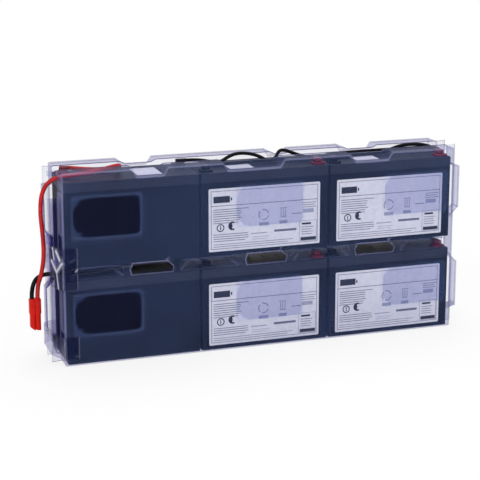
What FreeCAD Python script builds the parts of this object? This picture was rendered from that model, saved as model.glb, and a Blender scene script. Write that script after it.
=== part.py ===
import FreeCAD, Part
import math
import os

os.makedirs("parts", exist_ok=True)
V = FreeCAD.Vector

# Battery cartridge: six sealed 12 V batteries, three long and two high, gripped
# between two shallow clear trays. X runs along the cartridge, Y from front to back,
# and Z up. The origin is the middle of the face that it stands on. Millimetres.

# --- one battery ---------------------------------------------------------------
battery_length = 151.0
battery_depth = 65.0
battery_height = 94.0
lid_height = 11.0
case_inset = 0.35          # the case is this much smaller than the lid on each side
case_corner = 2.5
case_edge = 1.2
lid_corner = 3.0
lid_edge = 1.0
seam_gap = 0.8             # groove between case and lid
seam_depth = 0.6
vent_length = 96.0
vent_width = 24.0
vent_recess = 1.2
vent_corner = 2.0
vent_margin = 0.4
vent_slot_count = 6
vent_slot_width = 1.2
vent_slot_length = 9.0
vent_slot_depth = 0.6
terminal_end = 9.5         # terminal centre, in from the end of the lid
terminal_side = 12.0       # terminal centre, in from the long side
terminal_block_length = 14.0
terminal_block_width = 12.0
terminal_block_height = 2.2
terminal_block_sink = 1.0
terminal_block_corner = 1.5
terminal_block_edge = 0.6
tab_width = 6.35
tab_thickness = 0.8
tab_height = 7.0

# --- how the batteries stand ---------------------------------------------------
battery_gap = 0.5
row_gap = 14.0
column_count = 3
row_count = 2

# --- the two trays -------------------------------------------------------------
tray_wall = 1.0
tray_reach = 22.5          # how far a tray reaches in over the batteries
face_gap = 1.5             # between the battery faces and the tray's face
end_gap = 2.3
head_room = 9.9            # from the battery tops to the tray's roof
tray_round = 1.5
flange_margin = 1.0        # the flange shows this much past the end ribs
flange_round = 2.0
pad_gap = 0.45             # what the tray's pads leave for label and adhesive
pad_width = 80.0
pad_height = 49.5
pad_rise = 30.0            # pad's lower edge above the battery's bottom
pad_corner = 5.0
pad_shift = (-29.5, 5.0, 31.5)
scoop_slope = 0.7
scoop_floor = 1.3          # scoop's inner face above the battery tops, at the tray face
scoop_rim_depth = 2.6
# each scoop: column from the middle one, shift from that column's middle, width
front_scoops = ((-1, 19.0, 41.0), (0, -14.0, 72.0), (1, -25.0, 51.0))
rear_scoops = ((-1, 17.5, 41.0), (0, 33.5, 26.0), (1, -20.0, 43.0))
shelf_depth = 8.5          # the shelves between the rows reach this far in
shelf_gap = 0.15
shelf_drop = 6.5           # how far a shelf's underside climbs on its way in
shelf_taper = 9.0
shelf_clear = 1.2          # a shelf's underside above the lower row, at the tray face
shelf_end = 4.0            # from the ends of the rows to the outer shelves
shelf_to_window = 8.0
window_shifts = (19.5, 0.0, -20.0)
window_sill = 2.5
window_lean = 2.5
window_corner = 1.5
window_width = 47.0
window_slant = 6.5
window_lip = 1.4
window_lip_raise = 0.7
window_margin = 0.6
bump_reach = 10.2
bump_start = 5.5           # from the tray's inner face
bump_low = (23.0, 84.0)
bump_high = (25.0, 81.0)   # each above the bottom of its own row of batteries
bump_chamfer = 9.5
bump_side = 2.0
grip_low = 35.0
grip_high = 82.0
grip_inset = 3.0
grip_gap = 0.4
lead_notch_sink = 20.0     # the notch for the leads starts this far below the battery tops
lead_notch_height = 25.0
lead_notch_gap = 0.5

# --- labels, stickers, adhesive and tape ---------------------------------------
label_width = 131.0
label_rise = 5.0
label_drop = 7.0           # from the lid's seam down to the label
label_shift = -1.0
label_corner = 1.5
label_thickness = 0.2
adhesive_corner = 7.0
adhesive_end_corner = 17.0 # at the end nearer the end of the cartridge
adhesive_inset = 1.2
sticker_length = 28.0
sticker_width = 37.0
sticker_thickness = 0.15
sticker_in = 11.0          # from the end of the vent cover
tape_thickness = 0.25
tape_cling = 0.05
tape_tail = 16.0
# each tape: lowest on the front tray, lowest where it goes round the end, highest
tape_bands = ((86.0, 101.0, 132.0), (8.0, 8.0, 33.0))

# --- wires ---------------------------------------------------------------------
jumper_diameter = 4.0
lead_diameter = 4.8
boot_length = 12.0
boot_width = 9.0
boot_height = 6.0
boot_tail = 3.0            # how far the boot reaches behind the tab
boot_gap = 0.1
boot_edge = 1.2
end_wire_gap = 2.6         # between the end of the rows and the wire that runs down there
bend_share = 0.45          # a bend takes this share of the shorter run beside it
plug_pitch = 6.3
plug_depth = 8.0
plug_collar_depth = 9.0
plug_collar_length = 17.0
plug_length = 36.0
plug_groove = 1.0
plug_slant = 4.0
plug_corner = 1.2
plug_collar_corner = 1.5
plug_collar_edge = 0.8
plug_collar_lip = 0.2
contact_width = 3.6
contact_wall = 0.5
contact_depth = 24.0
contact_gap = 0.1
contact_floor = 4.0
contact_sink = 1.0
plug_reach = 15.1          # plug's middle, out from the flange edge
plug_shift = -2.0
plug_drop = 24.0           # plug's top below the tops of the lower batteries
plug_straight = 13.0       # the leads run straight this far above the plug

# --- sizes worked out from these -----------------------------------------------
column_pitch = battery_length + battery_gap
row_pitch = battery_height + row_gap
stack_height = row_pitch * (row_count - 1) + battery_height
half_stack = (column_pitch * (column_count - 1) + battery_length) / 2
half_depth = battery_depth / 2
battery_floor = tray_wall
lower_top = battery_floor + battery_height
stack_top = battery_floor + stack_height
tray_inside = half_stack + end_gap
flange_edge = tray_inside + bump_reach + flange_margin
tray_face = half_depth + face_gap
tray_rim = tray_face + tray_wall - tray_reach
tray_roof = stack_top + head_room
tray_top = tray_roof + tray_wall
label_height = battery_height - lid_height - label_rise - label_drop
sticker_shift = sticker_in + (sticker_length - vent_length) / 2
plug_middle = (-flange_edge - plug_reach, plug_shift)
plug_top = lower_top - plug_drop
window_centres = [(column - 1) * column_pitch + shift
                  for column, shift in enumerate(window_shifts)]
far = 30.0                 # cutters run this far past what they cut
overlap = 1.0              # pieces that are joined or cut open run this far into each other


def box(low, high):
    size = V(*high) - V(*low)
    return Part.makeBox(size.x, size.y, size.z, V(*low))


def filleted(solid, radius, keep):
    """Rounds the edges that keep() picks by their direction and middle."""
    edges = []
    for edge in solid.Edges:
        way = edge.Vertexes[-1].Point - edge.Vertexes[0].Point
        if keep(way, edge.CenterOfMass):
            edges.append(edge)
    return solid.makeFillet(radius, edges)


def along(way, axis):
    return abs(way.getAngle(axis) % math.pi) < 0.01 or abs(way.getAngle(axis) - math.pi) < 0.01


def plate(low, high, radius, axis):
    """A box whose four edges along one axis are rounded."""
    return filleted(box(low, high), radius, lambda way, middle: along(way, axis))


def prism(outline, y_low, y_high):
    """A solid with an outline in X and Z, from one Y to another."""
    points = [V(x, y_low, z) for x, z in outline]
    face = Part.Face(Part.makePolygon(points + points[:1]))
    return face.extrude(V(0, y_high - y_low, 0))


def frustum(near, y_near, deep, y_deep):
    """A tapering block between two upright rectangles (x0, x1, z0, z1)."""
    wires = []
    for (x0, x1, z0, z1), y in ((near, y_near), (deep, y_deep)):
        corners = [V(x0, y, z0), V(x1, y, z0), V(x1, y, z1), V(x0, y, z1)]
        wires.append(Part.makePolygon(corners + corners[:1]))
    return Part.makeLoft(wires, True, True)


def fused(solids):
    return solids[0].multiFuse(solids[1:]).removeSplitter()


def save(name, shape):
    shape.exportStep(os.path.join("parts", name + ".step"))
    solids = shape.Solids
    volume = sum(solid.Volume for solid in solids)
    print(f"{name}: {len(solids)} solid(s), {volume:.0f} mm3, valid {shape.isValid()}")


def turned(shape, wanted):
    """Turns a shape end for end about the upright axis where wanted."""
    copy = shape.copy()
    if wanted:
        copy.rotate(V(0, 0, 0), V(0, 0, 1), 180)
    return copy


# --- battery pieces, about the middle of the battery's bottom face -------------
def battery_case():
    half_x = battery_length / 2 - case_inset
    half_y = half_depth - case_inset
    top = battery_height - lid_height
    body = plate((-half_x, -half_y, 0), (half_x, half_y, top), case_corner, V(0, 0, 1))
    return filleted(body, case_edge, lambda way, middle: middle.z < 0.01)


def battery_lid():
    half_x = battery_length / 2
    low = battery_height - lid_height
    lid = plate((-half_x, -half_depth, low), (half_x, half_depth, battery_height),
                lid_corner, V(0, 0, 1))
    lid = filleted(lid, lid_edge, lambda way, middle: middle.z > battery_height - 0.01)
    ring = plate((-half_x, -half_depth, low), (half_x, half_depth, low + seam_gap),
                 lid_corner, V(0, 0, 1))
    core = plate((-half_x + seam_depth, -half_depth + seam_depth, low),
                 (half_x - seam_depth, half_depth - seam_depth, low + seam_gap),
                 lid_corner, V(0, 0, 1))
    lid = lid.cut(ring.cut(core))
    lid = lid.cut(vent_plate(vent_margin, battery_height - vent_recess, battery_height + overlap))
    for side in (-1, 1):
        lid = lid.cut(terminal_block_blank(side, vent_margin, battery_height + overlap))
    return lid


def vent_plate(margin, low, high):
    half_x = vent_length / 2 + margin
    half_y = vent_width / 2 + margin
    return plate((-half_x, -half_y, low), (half_x, half_y, high), vent_corner + margin,
                 V(0, 0, 1))


def vent_cover():
    high = battery_height
    cover = vent_plate(0, high - vent_recess, high)
    pitch = vent_length / vent_slot_count
    for index in range(vent_slot_count):
        middle = (index + 0.5) * pitch - vent_length / 2
        slot = box((middle - vent_slot_width / 2, -vent_slot_length / 2, high - vent_slot_depth),
                   (middle + vent_slot_width / 2, vent_slot_length / 2, high + overlap))
        cover = cover.cut(slot)
    return cover


def terminal_place(side):
    """Middle of a terminal: side is -1 for negative and 1 for positive."""
    return V(side * (battery_length / 2 - terminal_end), terminal_side - half_depth, 0)


def terminal_block_blank(side, margin, high):
    middle = terminal_place(side)
    half_x = terminal_block_length / 2 + margin
    half_y = terminal_block_width / 2 + margin
    low = battery_height - terminal_block_sink
    return plate((middle.x - half_x, middle.y - half_y, low),
                 (middle.x + half_x, middle.y + half_y, high), terminal_block_corner + margin,
                 V(0, 0, 1))


def tab(side, margin):
    middle = terminal_place(side)
    half_x = tab_width / 2 + margin
    half_y = tab_thickness / 2 + margin
    low = battery_height
    return box((middle.x - half_x, middle.y - half_y, low),
               (middle.x + half_x, middle.y + half_y, low + tab_height + margin))


def terminal_block(side):
    blank = terminal_block_blank(side, 0, battery_height + terminal_block_height)
    top = battery_height + terminal_block_height
    blank = filleted(blank, terminal_block_edge, lambda way, middle: middle.z > top - 0.01)
    return blank.cut(tab(side, 0))


def boot(side, swing):
    """The insulated push-on connector over a tab, its wire leaving inwards."""
    middle = terminal_place(side)
    low = battery_height + terminal_block_height
    body = box((middle.x - boot_width / 2, middle.y - boot_tail, low),
               (middle.x + boot_width / 2, middle.y + boot_length - boot_tail,
                low + boot_height))
    body = filleted(body, boot_edge, lambda way, middle: along(way, V(0, 1, 0)))
    body.rotate(middle, V(0, 0, 1), swing)
    return body.cut(tab(side, boot_gap))


# --- trays ---------------------------------------------------------------------
def scoop(middle, width, skin):
    """The sloping dip in a tray's top edge, cut away above its floor."""
    def outline(floor):
        high = tray_top + far
        reach = scoop_slope * (high - tray_top)
        sink = scoop_slope * (tray_top - floor)
        left = middle - width / 2
        right = middle + width / 2
        return [V(left - reach, 0, high), V(left + sink, 0, floor),
                V(right - sink, 0, floor), V(right + reach, 0, high)]

    floor_face = stack_top + scoop_floor + skin
    floor_rim = tray_top - scoop_rim_depth - tray_wall + skin
    y_face = -tray_face - tray_wall
    slope = (floor_rim - floor_face) / (-tray_rim - y_face)
    wires = []
    for y in (y_face - overlap, -tray_rim + overlap):
        points = outline(floor_face + slope * (y - y_face))
        for point in points:
            point.y = y
        wires.append(Part.makePolygon(points + points[:1]))
    return Part.makeLoft(wires, True, True)


def shelves(skin):
    """Hollow shelves that reach in between the rows and carry the upper row."""
    low = lower_top + shelf_clear
    high = battery_floor + row_pitch - shelf_gap
    beside_window = window_width / 2 + shelf_to_window
    edges = [-half_stack + shelf_end] + [
        centre + way * beside_window for centre in window_centres for way in (-1, 1)
    ] + [half_stack - shelf_end]
    cutters = []
    for x0, x1 in zip(edges[0::2], edges[1::2]):
        near = (x0 + skin, x1 - skin, low + skin, high - skin)
        deep = (x0 + shelf_taper + skin, x1 - shelf_taper - skin,
                low + shelf_drop + skin, high - skin)
        y_near = -tray_face - tray_wall
        cutters.append(frustum(near, y_near, deep, -tray_face + shelf_depth - skin))
        cutters.append(frustum(near, y_near - far, near, y_near))
    return cutters


def pads(skin):
    cutters = []
    for row in range(row_count):
        low = battery_floor + row * row_pitch + pad_rise
        for column in range(column_count):
            middle = (column - 1) * column_pitch + pad_shift[column]
            half = pad_width / 2 - skin
            cutters.append(plate((middle - half, -tray_face - far, low + skin),
                                 (middle + half, -half_depth - pad_gap - skin,
                                  low + pad_height - skin), pad_corner, V(0, 1, 0)))
    return cutters


def bumps(skin):
    """Outward ribs on the end of a tray, one beside each row."""
    solids = []
    for row, (low, high) in enumerate((bump_low, bump_high)):
        base = battery_floor + row * row_pitch
        z0 = base + low - skin
        z1 = base + high + skin
        x0 = tray_inside - overlap
        x1 = tray_inside + bump_reach - tray_wall + skin
        if row == 0:
            outline = [(x0, z0 - bump_side), (x1, z0), (x1, z1 - bump_chamfer), (x0, z1)]
        else:
            outline = [(x0, z0), (x1, z0 + bump_chamfer), (x1, z1), (x0, z1 + bump_side)]
        solids.append(prism(outline, -tray_face + bump_start - skin, -tray_rim))
    return solids


def grips(skin):
    """Inward panels on the other end of a tray, against the battery ends."""
    cutters = []
    for row in range(row_count):
        base = battery_floor + row * row_pitch
        cutters.append(box((-tray_inside - far, -tray_face + grip_inset + skin,
                            base + grip_low + skin),
                           (-half_stack - grip_gap - skin, -tray_rim - grip_inset - skin,
                            base + grip_high - skin)))
    return cutters


def tray_form(skin, scoops):
    """The shape inside a tray, grown outwards by the skin."""
    low = (-tray_inside - skin, -tray_face - skin, battery_floor - skin)
    high = (tray_inside + skin, -tray_rim, tray_roof + skin)
    form = filleted(box(low, high), tray_round + skin,
                    lambda way, middle: middle.y < -tray_rim - 0.01)
    form = form.multiFuse(bumps(skin))
    cutters = pads(skin) + shelves(skin) + grips(skin)
    cutters += [scoop(middle, width, skin) for middle, width in scoops]
    return form.cut(cutters)


def window_outline(centre, grow):
    low = lower_top + window_margin + window_sill - grow
    high = battery_floor + row_pitch - window_margin + grow
    middle = (low + high) / 2
    left = centre - window_width / 2 - grow
    right = centre + window_width / 2 + grow
    return [(left + window_corner, low), (right - window_corner, low),
            (right, middle - window_corner), (right - window_slant, high),
            (left + window_lean, high), (left, middle)]


def tray(scoops, notch):
    y_face = -tray_face - tray_wall
    flange = plate((-flange_edge, -tray_rim - tray_wall, 0), (flange_edge, -tray_rim, tray_top),
                   flange_round, V(0, 1, 0))
    lips = [prism(window_outline(centre, window_lip), y_face - window_lip_raise, -tray_face)
            for centre in window_centres]
    shell = tray_form(tray_wall, scoops).multiFuse([flange] + lips)
    cutters = [tray_form(0, scoops)]
    cutters += [scoop(middle, width, tray_wall) for middle, width in scoops]
    cutters += [prism(window_outline(centre, 0), y_face - far, -tray_face + overlap)
                for centre in window_centres]
    if notch:
        low = stack_top - lead_notch_sink
        cutters.append(box((-flange_edge - overlap, -tray_rim - far, low),
                           (-tray_inside - tray_wall - lead_notch_gap, -tray_rim + overlap,
                            low + lead_notch_height)))
    return shell.cut(cutters).removeSplitter()


# --- stuck-on pieces -----------------------------------------------------------
case_face = half_depth - case_inset


def label():
    low = label_rise
    middle = label_shift
    return plate((middle - label_width / 2, -case_face - label_thickness, low),
                 (middle + label_width / 2, -case_face, low + label_height), label_corner,
                 V(0, 1, 0))


def sticker():
    low = battery_height
    return box((sticker_shift - sticker_length / 2, -sticker_width / 2, low),
               (sticker_shift + sticker_length / 2, sticker_width / 2, low + sticker_thickness))


def adhesives(back):
    """The adhesive behind each pad of a tray; back is -1 for the front tray, 1 for the rear."""
    solids = []
    for row in range(row_count):
        low = battery_floor + row * row_pitch + pad_rise + adhesive_inset
        for column in range(column_count):
            middle = -back * ((column - 1) * column_pitch + pad_shift[column])
            labelled = turned_round(middle) == (back > 0)
            y0 = -half_depth - pad_gap
            y1 = -case_face - (label_thickness if labelled else 0)
            half = pad_width / 2 - adhesive_inset
            solid = box((-half, y0, low), (half, y1, low + pad_height - 2 * adhesive_inset))
            for end, corner in ((-1, adhesive_end_corner), (1, adhesive_corner)):
                solid = filleted(solid, corner, lambda way, middle, end=end: (
                    along(way, V(0, 1, 0)) and abs(middle.x - end * half) < 0.01))
            solid = turned(solid, back > 0)
            solid.translate(V(middle, 0, 0))
            solids.append(solid)
    return Part.makeCompound(solids)


def turned_round(x):
    """The left-hand batteries face the back, the others face the front."""
    return x < -column_pitch / 2


def beside(points, distance):
    """The same open outline, moved out to its left by a distance."""
    ways = [(b - a).normalize() for a, b in zip(points, points[1:])]
    sides = [V(-way.y, way.x, 0) for way in ways]
    moved = [points[0] + sides[0] * distance]
    for point, before, after in zip(points[1:-1], sides, sides[1:]):
        middle = (before + after).normalize()
        moved.append(point + middle * (distance / middle.dot(after)))
    moved.append(points[-1] + sides[-1] * distance)
    return moved


def end_tape(front_low, low, high):
    """Clear tape round the left end, from the front tray's face to the rear tray's.
    Its front part may hang lower, below where it leaves room for the leads."""
    x_wall = -tray_inside - tray_wall
    y_face = tray_face + tray_wall
    tail = x_wall + tape_tail
    y_flange = tray_rim + tray_wall
    y_bump = tray_face - bump_start + tray_wall
    corners = [(tail, -y_face), (x_wall, -y_face), (-flange_edge, -y_flange),
               (-flange_edge, y_bump), (x_wall, y_face), (tail, y_face)]
    route = [V(x, y, front_low) for x, y in corners]
    inner = beside(route, tape_cling)
    outer = beside(route, tape_cling + tape_thickness)
    points = inner + outer[::-1]
    face = Part.Face(Part.makePolygon(points + points[:1]))
    tape = face.extrude(V(0, 0, high - front_low))
    if low > front_low:
        tape = tape.cut(box((-flange_edge - far, -y_flange, front_low - overlap),
                            (tail + overlap, far + y_face, low)))
    return tape


# --- wires ---------------------------------------------------------------------
def bent_path(points):
    """Straight runs joined by tangent arcs."""
    edges = []
    radii = []
    start = points[0]
    for before, corner, after in zip(points, points[1:], points[2:]):
        back = (before - corner).normalize()
        ahead = (after - corner).normalize()
        half_turn = (math.pi - back.getAngle(ahead)) / 2
        reach = bend_share * min((before - corner).Length, (after - corner).Length)
        radius = reach / math.tan(half_turn)
        radii.append(radius)
        arc_start = corner + back * reach
        arc_end = corner + ahead * reach
        inward = (back + ahead).normalize()
        middle = corner + inward * (radius / math.cos(half_turn) - radius)
        edges.append(Part.LineSegment(start, arc_start).toShape())
        edges.append(Part.Arc(arc_start, middle, arc_end).toShape())
        start = arc_end
    edges.append(Part.LineSegment(start, points[-1]).toShape())
    return Part.Wire(edges), radii


def tube(name, route, diameter):
    points = [V(*point) for point in route]
    path, radii = bent_path(points)
    ring = Part.makeCircle(diameter / 2, points[0], points[1] - points[0])
    solid = path.makePipeShell([Part.Wire([ring])], True, False)
    wanted = math.pi * diameter ** 2 / 4 * path.Length
    share = solid.Volume / wanted
    tightest = ", ".join(f"{radius:.0f}" for radius in radii)
    print(f"{name}: length {path.Length:.1f}, radii {tightest}, volume share {share:.4f}")
    return solid


def terminal_x(column, side):
    """World X of a terminal of the battery in that column."""
    way = -1 if column == 0 else 1
    return (column - 1) * column_pitch + way * terminal_place(side).x


boot_row = half_depth - terminal_side
boot_mouth = boot_row - boot_length + boot_tail
swung_reach = boot_length - boot_tail
wire_rise = terminal_block_height + boot_height / 2
end_wire = (half_stack + jumper_diameter / 2 + end_wire_gap) / column_pitch
lead_x = plug_middle[0] + plug_pitch / 2
black_x = plug_middle[0] - plug_pitch / 2
row_tops = (lower_top, stack_top)


def spot(x, y, level):
    """A wire's point: X in column pitches, Y in half depths, and Z in row pitches
    above the tops of the lower batteries."""
    return (x * column_pitch, y * half_depth, lower_top + level * row_pitch)


def outside(x, y, level):
    """The same past the left flanges: X in plug reaches, out from the flange edge."""
    return (-flange_edge - x * plug_reach, y * half_depth, lower_top + level * row_pitch)


def at_boot(column, side, row):
    """Where a wire leaves a boot that lies across its battery."""
    way = 1 if column == 0 else -1
    return (terminal_x(column, side), way * boot_mouth, row_tops[row] + wire_rise)


def beside_boot(column, side, y, row):
    return (terminal_x(column, side), y * half_depth, row_tops[row] + wire_rise)


def at_swung_boot(side, way, row):
    """Where a wire leaves a boot of the left column that lies along its battery."""
    return (terminal_x(0, side) + way * swung_reach, boot_row, row_tops[row] + wire_rise)


def beside_swung_boot(x, row):
    return (x * column_pitch, boot_row, row_tops[row] + wire_rise)


jumper_routes = {
    "upper_left_jumper": [
        at_swung_boot(-1, 1, 1), beside_swung_boot(-0.41, 1), spot(-0.317, 0.369, 1.027),
        spot(-0.254, 0.262, 1.032), spot(-0.205, 0.246, 1.079), spot(-0.145, 0.246, 1.109),
        spot(-0.059, 0.246, 1.107), spot(0.04, 0.255, 1.079), spot(0.106, 0.265, 1.051),
        spot(0.152, 0.265, 1.079), spot(0.191, 0.258, 1.12), spot(0.251, 0.231, 1.113),
        spot(0.343, 0.185, 1.089), spot(0.416, 0.092, 1.076), beside_boot(1, 1, -0.1, 1),
        at_boot(1, 1, 1),
    ],
    "upper_right_jumper": [
        at_boot(1, -1, 1), beside_boot(1, -1, -0.08, 1), spot(-0.383, 0.031, 1.026),
        spot(-0.29, 0.062, 1.021), spot(0.066, 0.077, 1.021), spot(0.396, 0.077, 1.02),
        spot(0.594, 0.062, 1.02), spot(0.858, 0.092, 1.022), spot(1.043, 0.092, 1.024),
        spot(1.116, 0.092, 1.068), spot(1.195, 0.092, 1.094), spot(1.307, 0.077, 1.096),
        spot(1.399, 0.046, 1.078), beside_boot(2, 1, -0.1, 1), at_boot(2, 1, 1),
    ],
    "row_jumper": [
        at_boot(2, -1, 1), beside_boot(2, -1, -0.12, 1), spot(0.568, 0.062, 1.07),
        spot(0.584, 0.308, 1.059), spot(0.647, 0.523, 1.027), spot(0.99, 0.585, 1.026),
        spot(1.32, 0.523, 1.028), spot(1.485, 0.369, 1.037), spot(end_wire + 0.013, 0.215, 1),
        spot(end_wire, 0.154, 0.787), spot(end_wire - 0.002, 0.123, 0.37),
        spot(end_wire, 0.154, 0.157), spot(1.505, 0.154, 0.065), beside_boot(2, 1, 0.123, 0),
        at_boot(2, 1, 0),
    ],
    "lower_right_jumper": [
        at_boot(2, -1, 0), beside_boot(2, -1, 0.154, 0),
        beside_boot(1, 1, 0.154, 0), at_boot(1, 1, 0)],
    "lower_left_jumper": [
        at_boot(1, -1, 0), beside_boot(1, -1, 0.092, 0), spot(-0.594, 0.185, 0.093),
        spot(-0.924, 0.154, 0.102), spot(-1.287, 0.123, 0.093),
        beside_boot(0, 1, -0.031, 0), at_boot(0, 1, 0)],
}
red_route = [
    at_swung_boot(1, 1, 1), beside_swung_boot(-1.241, 1), spot(-1.083, 0.6, 1.035),
    spot(-1.026, 0.185, 1.079), spot(-1.083, -0.252, 1.097), spot(-1.234, -0.271, 1.088),
    spot(-1.399, -0.215, 1.063), outside(-0.497, -0.123, 1.019), outside(0.265, -0.077, 0.88),
    outside(0.444, -0.092, 0.667), outside(0.285, -0.108, 0.417), outside(0.252, -0.092, 0.204),
    outside(0.464, -0.077, 0.019), (lead_x, plug_middle[1], plug_top + plug_straight),
    (lead_x, plug_middle[1], plug_top)]
black_route = [
    at_swung_boot(-1, -1, 0), beside_swung_boot(-0.759, 0), spot(-0.964, 0.277, 0.028),
    spot(-1.162, -0.092, 0.027), spot(-1.353, -0.246, 0.026), outside(-0.695, -0.154, 0.027),
    outside(0.596, 0.138, 0), (black_x, plug_middle[1], plug_top + plug_straight),
    (black_x, plug_middle[1], plug_top)]


# --- plug ----------------------------------------------------------------------
def plug_housing():
    x, y = plug_middle
    low = plug_top - plug_length
    collar_half = plug_collar_depth / 2
    reach = plug_pitch + plug_collar_lip
    collar = plate((x - reach, y - collar_half, plug_top - plug_collar_length),
                   (x + reach, y + collar_half, plug_top), plug_collar_corner, V(0, 0, 1))
    collar = filleted(collar, plug_collar_edge, lambda way, middle: middle.z > plug_top - 0.01)
    pieces = [collar]
    for side in (-1, 1):
        middle = x + side * plug_pitch / 2
        half = plug_pitch / 2
        pieces.append(plate((middle - half, y - plug_depth / 2, low),
                            (middle + half, y + plug_depth / 2, plug_top - overlap),
                            plug_corner, V(0, 0, 1)))
    housing = fused(pieces)
    for side in (-1, 1):
        half = plug_groove / 2
        edge = y + side * plug_depth / 2
        housing = housing.cut(box((x - half, edge - half, low - overlap),
                                  (x + half, edge + half, plug_top - plug_collar_length)))
    rise = plug_slant / (2 * plug_pitch)
    wedge = [V(x - far, y - far, low - far), V(x + far, y - far, low - far),
             V(x + far, y - far, low + rise * (far + plug_pitch)),
             V(x - far, y - far, low - rise * (far - plug_pitch))]
    face = Part.Face(Part.makePolygon(wedge + wedge[:1]))
    housing = housing.cut(face.extrude(V(0, 2 * far, 0)))
    return housing.cut([contact_blank(side, contact_gap) for side in (-1, 1)])


def contact_blank(side, margin):
    x = plug_middle[0] + side * plug_pitch / 2
    y = plug_middle[1]
    half = contact_width / 2 + margin
    low = plug_top - plug_length
    return box((x - half, y - half, low - overlap),
               (x + half, y + half, low + contact_depth + margin))


def contact(side):
    """A folded sheet contact, open at its mouth."""
    x = plug_middle[0] + side * plug_pitch / 2
    y = plug_middle[1]
    low = plug_top - plug_length + plug_slant + contact_sink
    outer = contact_width / 2
    inner = outer - contact_wall
    high = plug_top - plug_length + contact_depth
    body = box((x - outer, y - outer, low), (x + outer, y + outer, high))
    return body.cut(box((x - inner, y - inner, low - overlap),
                        (x + inner, y + inner, high - contact_floor)))


# --- making and placing ---------------------------------------------------------
row_names = ("lower", "upper")
column_names = ("left", "middle", "right")
swung = {("upper", "left", 1): 90, ("upper", "left", -1): 90, ("lower", "left", -1): -90}


def placed(shape, row, column):
    copy = turned(shape, column == 0)
    copy.translate(V((column - 1) * column_pitch, 0, battery_floor + row * row_pitch))
    return copy


def batteries():
    pieces = {
        "case": battery_case(), "lid": battery_lid(), "vent_cover": vent_cover(),
        "positive_block": terminal_block(1), "negative_block": terminal_block(-1),
        "label": label(), "sticker": sticker(),
    }
    tabs = []
    boots = {-1: [], 1: []}
    for row, row_name in enumerate(row_names):
        for column, column_name in enumerate(column_names):
            for piece, shape in pieces.items():
                save(f"{row_name}_{column_name}_{piece}", placed(shape, row, column))
            for side in (-1, 1):
                swing = swung.get((row_name, column_name, side), 0)
                tabs.append(placed(tab(side, 0), row, column))
                boots[side].append(placed(boot(side, swing), row, column))
    save("terminal_tabs", Part.makeCompound(tabs))
    save("positive_boots", Part.makeCompound(boots[1]))
    save("negative_boots", Part.makeCompound(boots[-1]))


def scoop_places(plan, way):
    return [(way * (column * column_pitch + shift), width) for column, shift, width in plan]


def trays():
    save("front_tray", tray(scoop_places(front_scoops, 1), True))
    save("rear_tray", turned(tray(scoop_places(rear_scoops, -1), False), True))
    save("front_adhesive", adhesives(-1))
    save("rear_adhesive", adhesives(1))
    for name, band in zip(("upper_end_tape", "lower_end_tape"), tape_bands):
        save(name, end_tape(*band))


def wires():
    for name, route in jumper_routes.items():
        save(name, tube(name, route, jumper_diameter))
    save("red_lead", tube("red_lead", red_route, lead_diameter))
    save("black_lead", tube("black_lead", black_route, lead_diameter))
    save("plug_housing", plug_housing())
    save("plug_contacts", Part.makeCompound([contact(-1), contact(1)]))


batteries()
trays()
wires()
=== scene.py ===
import math
from functools import partial

import bmesh
import bpy
import numpy as np
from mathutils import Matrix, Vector


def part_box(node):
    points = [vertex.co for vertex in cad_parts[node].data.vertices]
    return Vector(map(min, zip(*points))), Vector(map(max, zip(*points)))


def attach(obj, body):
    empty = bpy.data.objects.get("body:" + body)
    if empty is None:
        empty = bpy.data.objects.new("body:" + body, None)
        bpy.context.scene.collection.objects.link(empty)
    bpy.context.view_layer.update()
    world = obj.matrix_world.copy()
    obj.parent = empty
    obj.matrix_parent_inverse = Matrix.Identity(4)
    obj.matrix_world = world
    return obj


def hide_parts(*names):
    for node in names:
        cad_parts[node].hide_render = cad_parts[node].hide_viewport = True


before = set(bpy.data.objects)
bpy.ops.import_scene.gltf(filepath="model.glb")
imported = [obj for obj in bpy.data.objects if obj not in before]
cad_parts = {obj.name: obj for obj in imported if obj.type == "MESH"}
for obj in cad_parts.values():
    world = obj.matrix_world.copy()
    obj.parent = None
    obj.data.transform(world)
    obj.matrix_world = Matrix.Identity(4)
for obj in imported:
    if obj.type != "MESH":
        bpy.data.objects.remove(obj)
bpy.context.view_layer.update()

rows = ("lower", "upper")
columns = ("left", "middle", "right")
mm = 0.001


def newObject(name, data):
    piece = bpy.data.objects.new(name, data)
    bpy.context.scene.collection.objects.link(piece)
    return piece


def aimAt(thing, place, target):
    thing.location = place
    way = Vector(target) - Vector(place)
    thing.rotation_euler = way.to_track_quat("-Z", "Y").to_euler()


# camera: a long lens from the left and a little above, so that the uprights stay parallel
view = {
    "place": (-0.53205, -1.50957, 0.52581),
    "target": (-0.02019, -0.0025, 0.17261),
    "lens": 109.0, "shiftY": -0.1, "nearest": 0.05,
}


def makeCamera(view):
    camera = newObject("camera", bpy.data.cameras.new("camera"))
    aimAt(camera, view["place"], view["target"])
    camera.data.lens = view["lens"]
    camera.data.shift_y = view["shiftY"]
    camera.data.clip_start = view["nearest"]
    bpy.context.scene.camera = camera


makeCamera(view)
print("camera placed")


# small helpers for materials and meshes

def colour(code):
    # an sRGB hex value as the linear colour that a shader takes
    parts = [int(code[i:i + 2], 16) / 255 for i in (1, 3, 5)]
    return [p / 12.92 if p <= 0.04045 else ((p + 0.055) / 1.055) ** 2.4 for p in parts] + [1.0]


def addNode(tree, kind, inputs=None, **settings):
    # one node with its own settings; its inputs take values, sockets, or other nodes, which
    # stand for their first output
    node = tree.nodes.new("ShaderNode" + kind)
    for name, value in settings.items():
        setattr(node, name, value)
    for name, value in (inputs or {}).items():
        value = value.outputs[0] if isinstance(value, bpy.types.Node) else value
        if isinstance(value, bpy.types.NodeSocket):
            tree.links.new(value, node.inputs[name])
        else:
            node.inputs[name].default_value = value
    return node


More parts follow.
